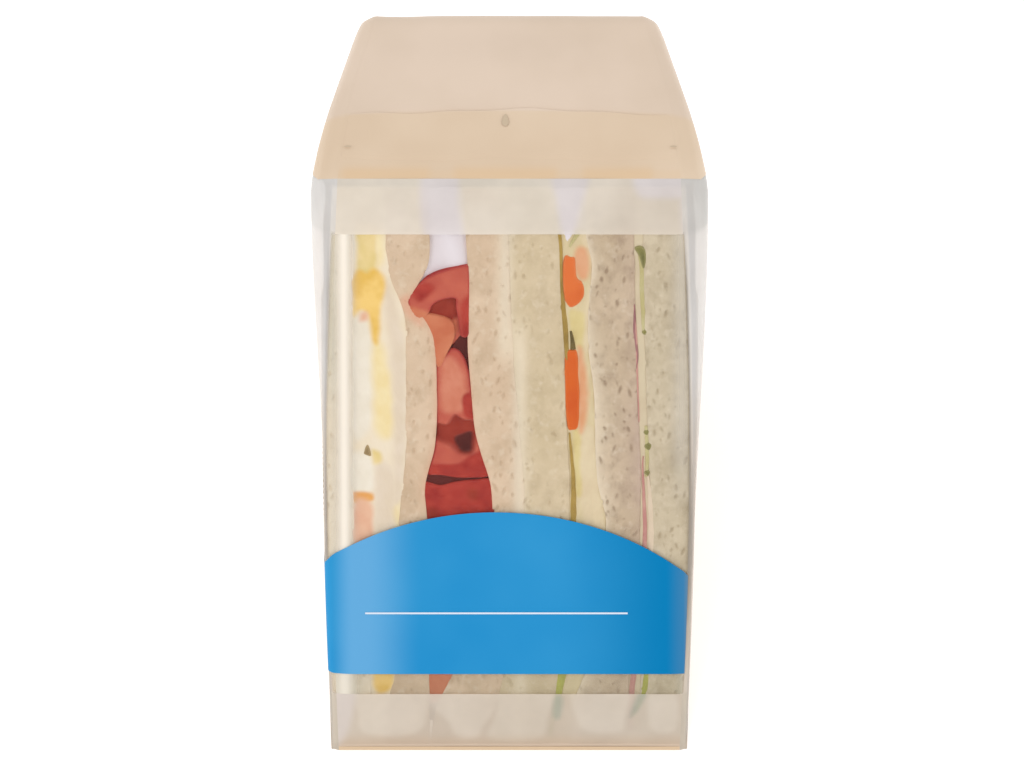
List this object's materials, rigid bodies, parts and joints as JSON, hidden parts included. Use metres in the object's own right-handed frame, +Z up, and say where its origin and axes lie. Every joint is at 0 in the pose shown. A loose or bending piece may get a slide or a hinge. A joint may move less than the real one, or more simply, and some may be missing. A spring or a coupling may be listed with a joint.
{
  "type": "packed triangular sandwiches",
  "caption": "Sealed clear film pack of triangular sandwiches, cut faces in front, with a plain roof of empty film above and a band of colour below",
  "frame": {"origin": "under the middle of the pack's box, on the surface that it rests on", "axes": "+Z up, +X along the stack of slices, -Y the side that the leaning cut face looks to"},
  "size_m": [0.0924, 0.1488, 0.105],
  "materials": {
    "film": "satin beige film, partly clear, partly frosted",
    "clear_film": "thin clear glossy film",
    "label": "blue print on glossy film",
    "bread": "soft open white crumb, matt",
    "egg": "moist egg salad, satin",
    "tomato": "wet tomato flesh",
    "salad": "moist potato salad, satin",
    "vegetable": "moist carrot and greens",
    "ham": "moist pink ham"
  },
  "bodies": {
    "root": {"sealed_pack": "film"}
  },
  "joints": []
}
